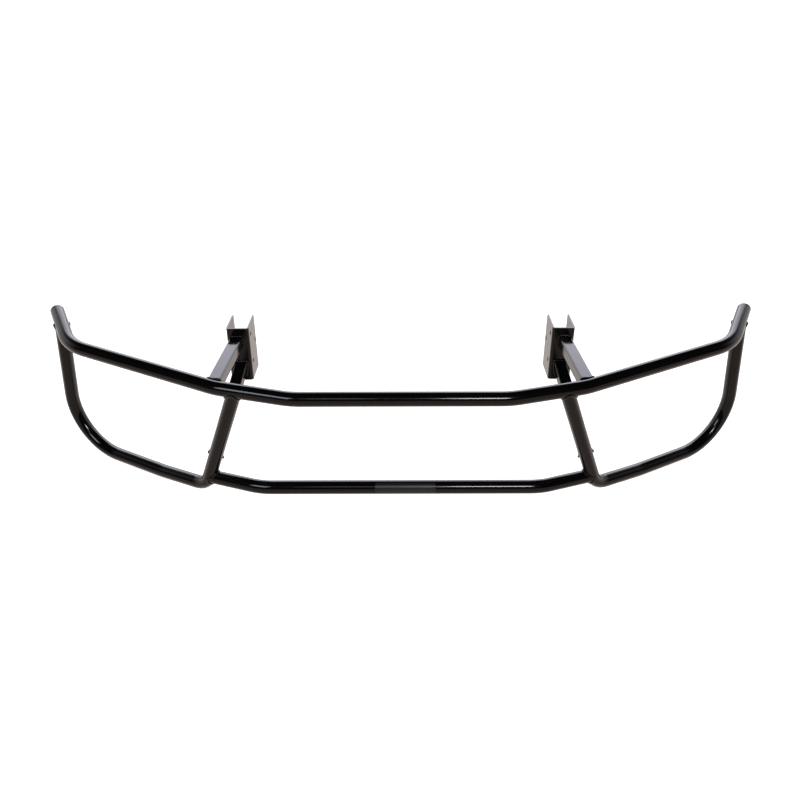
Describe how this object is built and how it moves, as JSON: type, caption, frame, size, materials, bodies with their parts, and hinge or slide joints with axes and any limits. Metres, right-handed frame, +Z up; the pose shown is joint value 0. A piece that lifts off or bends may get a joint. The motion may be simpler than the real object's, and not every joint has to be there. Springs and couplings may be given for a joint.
{
  "type": "front grille guard",
  "caption": "Welded tubular guard with cross rails, headlight hoops, square arms and drilled channel brackets, bolted to the front of a small vehicle.",
  "frame": {"origin": "midway between the two brackets, on the plane of their front faces, at half their height", "axes": "+X to the right seen from ahead, +Y to the rear towards the vehicle, +Z up"},
  "size_m": [1.3364, 0.288, 0.3055],
  "materials": {
    "black_coat": "gloss black powder coat",
    "plug_plastic": "moulded black plastic",
    "label_film": "satin textured film"
  },
  "bodies": {
    "root": {"top_rail": "black_coat", "lower_rail": "black_coat", "label_band": "label_film", "right_hoop": "black_coat", "right_bracket": "black_coat", "right_upper_arm": "black_coat", "right_lower_arm": "black_coat", "right_end_plug": "plug_plastic", "right_weld_hoop_inner": "black_coat", "right_weld_hoop_outer": "black_coat", "right_weld_lower_rail": "black_coat", "right_weld_upper_arm_rail": "black_coat", "right_weld_upper_arm_bracket": "black_coat", "right_weld_lower_arm_hoop": "black_coat", "right_weld_lower_arm_bracket": "black_coat", "left_hoop": "black_coat", "left_bracket": "black_coat", "left_upper_arm": "black_coat", "left_lower_arm": "black_coat", "left_end_plug": "plug_plastic", "left_weld_hoop_inner": "black_coat", "left_weld_hoop_outer": "black_coat", "left_weld_lower_rail": "black_coat", "left_weld_upper_arm_rail": "black_coat", "left_weld_upper_arm_bracket": "black_coat", "left_weld_lower_arm_hoop": "black_coat", "left_weld_lower_arm_bracket": "black_coat"}
  },
  "joints": []
}
